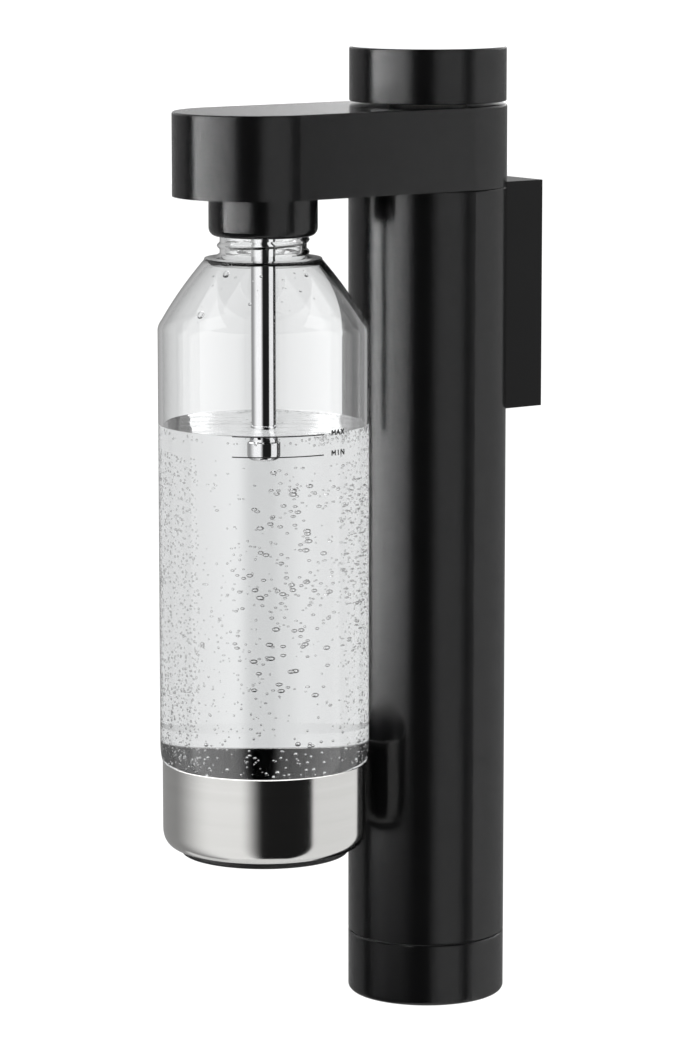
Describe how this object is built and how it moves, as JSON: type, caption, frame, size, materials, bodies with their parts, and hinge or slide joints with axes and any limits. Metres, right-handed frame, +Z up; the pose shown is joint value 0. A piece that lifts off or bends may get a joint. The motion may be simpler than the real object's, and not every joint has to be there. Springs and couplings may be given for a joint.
{
  "type": "soda carbonator",
  "caption": "Wall-mounted soda carbonator: a gas tower with a top push button, an arm with a nozzle, and a screw-in clear bottle in a steel cup.",
  "frame": {"origin": "centre of the bracket's back face, on the wall", "axes": "+Z up along the tower; +Y into the wall; the arm and the bottle stand out towards -Y; +X to the right of someone facing it"},
  "size_m": [0.092, 0.1842, 0.428],
  "materials": {
    "black_satin": "satin-gloss black, smooth",
    "black_plastic": "fine matte moulding texture",
    "white_plastic": "natural acetal, matte",
    "black_rubber": "soft matte rubber",
    "zinc_steel": "zinc-plated, satin",
    "brass": "turned brass",
    "nozzle_chrome": "polished",
    "cylinder_paint": "grey powder coat",
    "clear_bottle": "clear polyester, glossy",
    "cup_steel": "fine brushed, bright"
  },
  "bodies": {
    "wall_mount": {"wall_plate": "zinc_steel"},
    "tower": {"bracket_housing": "black_satin", "hook_plate": "zinc_steel", "bracket_screws": "zinc_steel", "tower_tube": "black_satin", "tower_top_ring": "black_plastic", "tower_bottom_ring": "black_plastic", "cylinder_guides": "white_plastic", "tower_screws": "zinc_steel", "arm_shell": "black_satin", "arm_base_plate": "black_plastic", "arm_screws": "zinc_steel", "button_guide": "white_plastic", "valve_block": "brass", "valve_block_screws": "zinc_steel", "plunger_seal": "black_rubber", "gas_line": "zinc_steel", "gas_line_nuts": "brass", "carbonation_head": "black_plastic", "head_screws": "zinc_steel", "bottle_collar": "black_satin", "nozzle_tube": "nozzle_chrome", "nozzle_tip": "nozzle_chrome", "relief_valve_body": "brass", "relief_spring": "zinc_steel", "burst_disc_plug": "brass", "button_spring": "zinc_steel"},
    "button": {"push_button": "black_satin", "button_plunger": "zinc_steel"},
    "relief": {"relief_poppet": "black_rubber"},
    "bottle_seal": {"neck_seal": "black_rubber"},
    "bottle": {"bottle_vessel": "clear_bottle", "bottle_base_cup": "cup_steel", "bottle_foot_ring": "black_plastic"},
    "pad": {"cap_pad": "black_rubber"},
    "cap": {"end_cap": "black_satin", "cap_seal": "black_rubber"},
    "cylinder": {"gas_cylinder": "cylinder_paint", "cylinder_valve": "brass", "cylinder_seal": "black_rubber"},
    "valve_pin": {"cylinder_valve_pin": "zinc_steel"}
  },
  "joints": [
    {"name": "unit_lift", "type": "slide", "parent": "wall_mount", "child": "tower", "axis": [0, 0, 1], "range_m": [0, 0.012]},
    {"name": "button_press", "type": "slide", "parent": "tower", "child": "button", "axis": [0, 0, -1], "range_m": [0, 0.001], "stiffness_N_per_m": 4000, "springref_m": -0.002, "deforming": ["button_spring"]},
    {"name": "pin_press", "type": "slide", "parent": "cylinder", "child": "valve_pin", "axis": [0, 0, -1], "range_m": [0, 0.001], "stiffness_N_per_m": 300, "springref_m": -0.001},
    {"name": "relief_lift", "type": "slide", "parent": "tower", "child": "relief", "axis": [0, 0, 1], "range_m": [0, 0.0015], "stiffness_N_per_m": 1500, "springref_m": -0.001, "deforming": ["relief_spring"]},
    {"name": "bottle_turn", "type": "hinge", "parent": "tower", "child": "bottle_seal", "pos_m": [0, -0.1382, 0], "axis": [0, 0, -1], "range_deg": [0, 540]},
    {"name": "bottle_lower", "type": "slide", "parent": "bottle_seal", "child": "bottle", "axis": [0, 0, -1], "range_m": [0, 0.13]},
    {"name": "cap_lower", "type": "slide", "parent": "tower", "child": "pad", "axis": [0, 0, -1], "range_m": [0, 0.4]},
    {"name": "cap_turn", "type": "hinge", "parent": "pad", "child": "cap", "pos_m": [0, -0.0492, 0], "axis": [0, 0, -1], "range_deg": [0, 450]},
    {"name": "cylinder_turn", "type": "hinge", "parent": "pad", "child": "cylinder", "pos_m": [0, -0.0492, 0], "axis": [0, 0, -1], "range_deg": [0, 900]}
  ],
  "couplings": [
    {"joint": "pin_press", "follows": "button_press", "ratio": 1}
  ]
}
